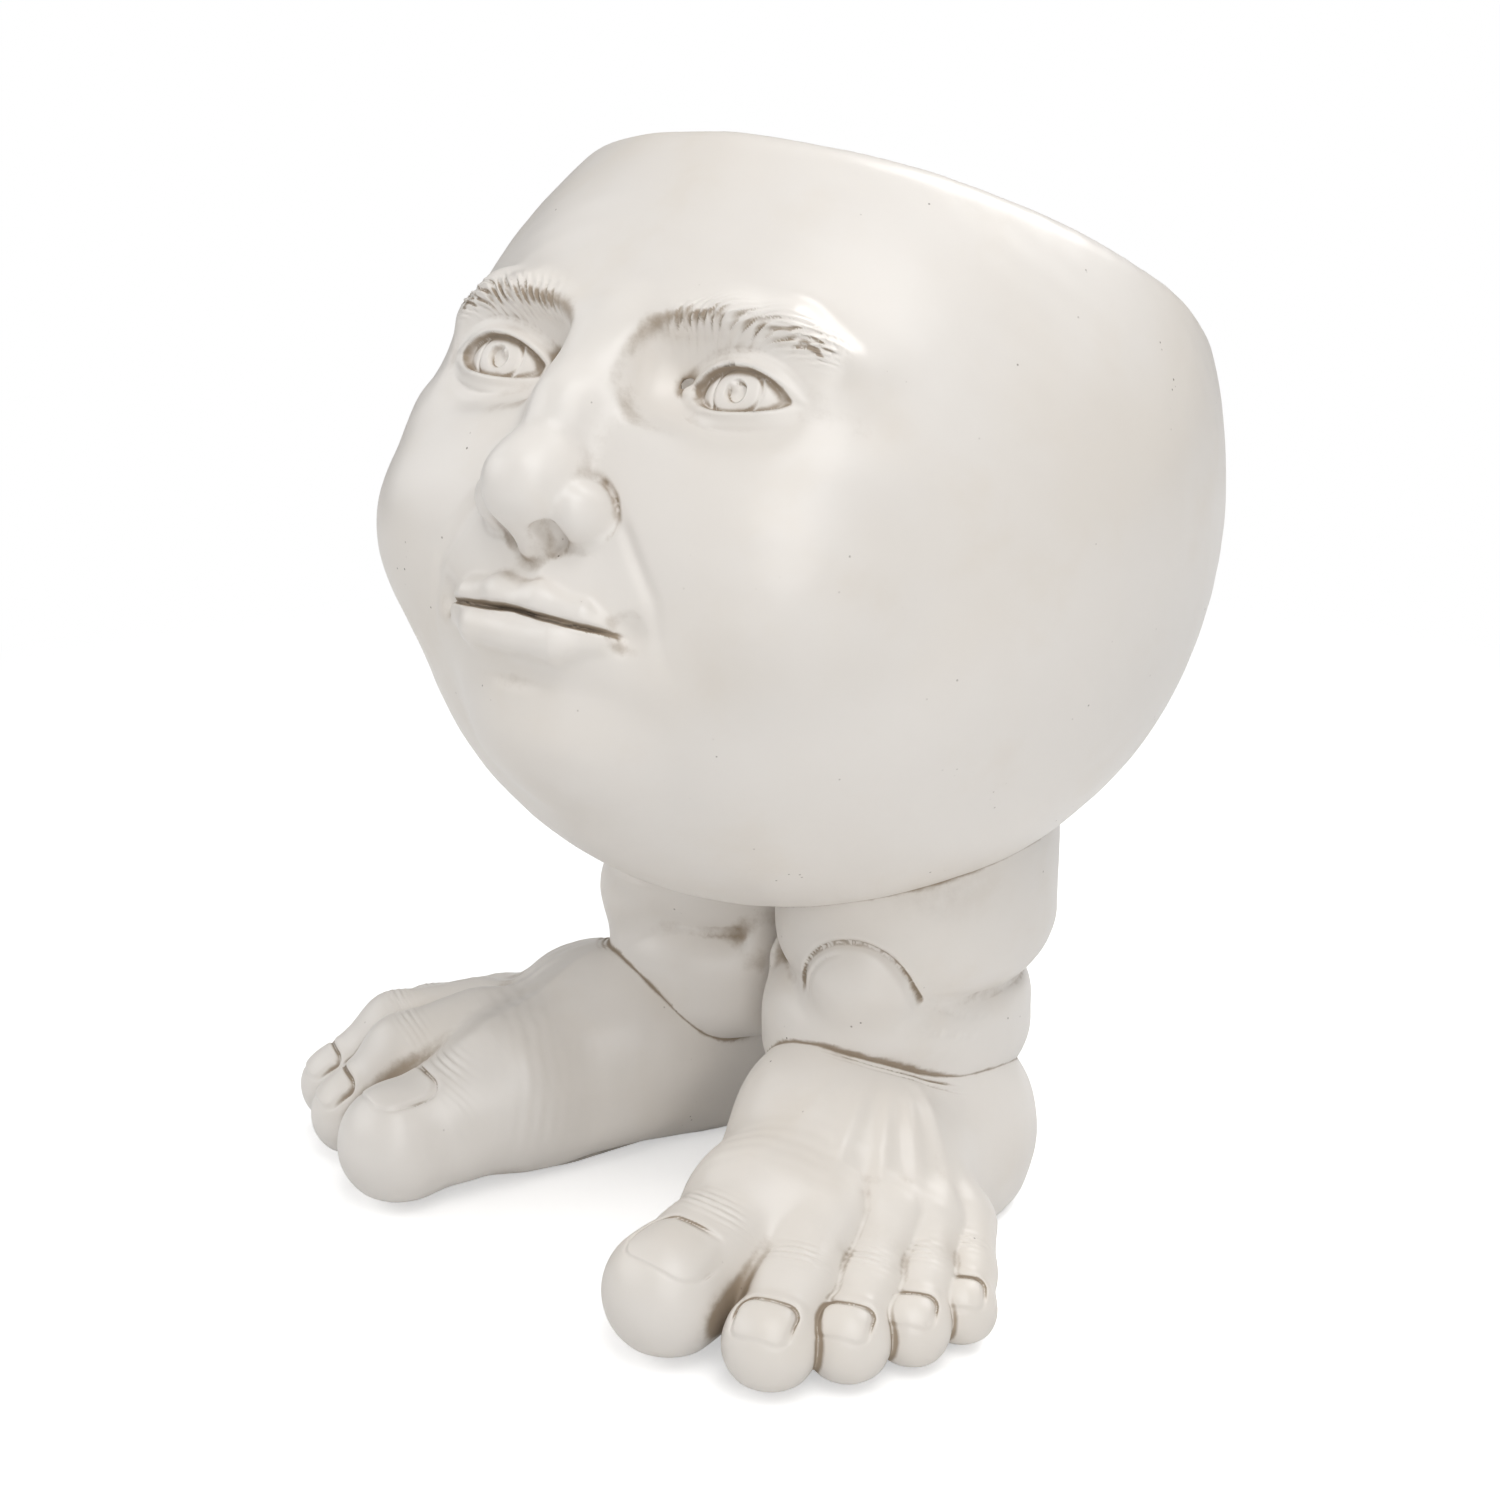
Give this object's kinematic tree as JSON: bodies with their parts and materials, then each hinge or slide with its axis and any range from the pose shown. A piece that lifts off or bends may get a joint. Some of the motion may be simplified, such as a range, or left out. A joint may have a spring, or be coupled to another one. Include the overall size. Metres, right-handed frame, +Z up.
{
  "type": "head planter",
  "caption": "Cast planter: a tilted hollow head, open at the top, on short legs with bare feet, with a drain stopper.",
  "frame": {"origin": "on the ground, under the middle of the object's bounding box", "axes": "+Z up, the face and toes look along -Y, +X is the figure's left"},
  "size_m": [0.2959, 0.309, 0.3811],
  "materials": {
    "cast_resin": "antiqued cast resin, satin, off-white with a brown wash in the creases",
    "sole_plate": "cast resin, plain",
    "rod_steel": "plain bar",
    "pad_rubber": "matte",
    "stopper_rubber": "matte brown"
  },
  "bodies": {
    "planter": {"head_shell": "cast_resin", "left_leg": "cast_resin", "right_leg": "cast_resin", "left_foot": "cast_resin", "right_foot": "cast_resin", "left_leg_rod": "rod_steel", "right_leg_rod": "rod_steel", "left_sole_plate": "sole_plate", "right_sole_plate": "sole_plate", "left_sole_pads": "pad_rubber", "right_sole_pads": "pad_rubber"},
    "stopper": {"drain_stopper": "stopper_rubber"}
  },
  "joints": [
    {"name": "stopper_lift", "type": "slide", "parent": "planter", "child": "stopper", "axis": [0, 0, 1], "range_m": [0, 0.27]}
  ]
}
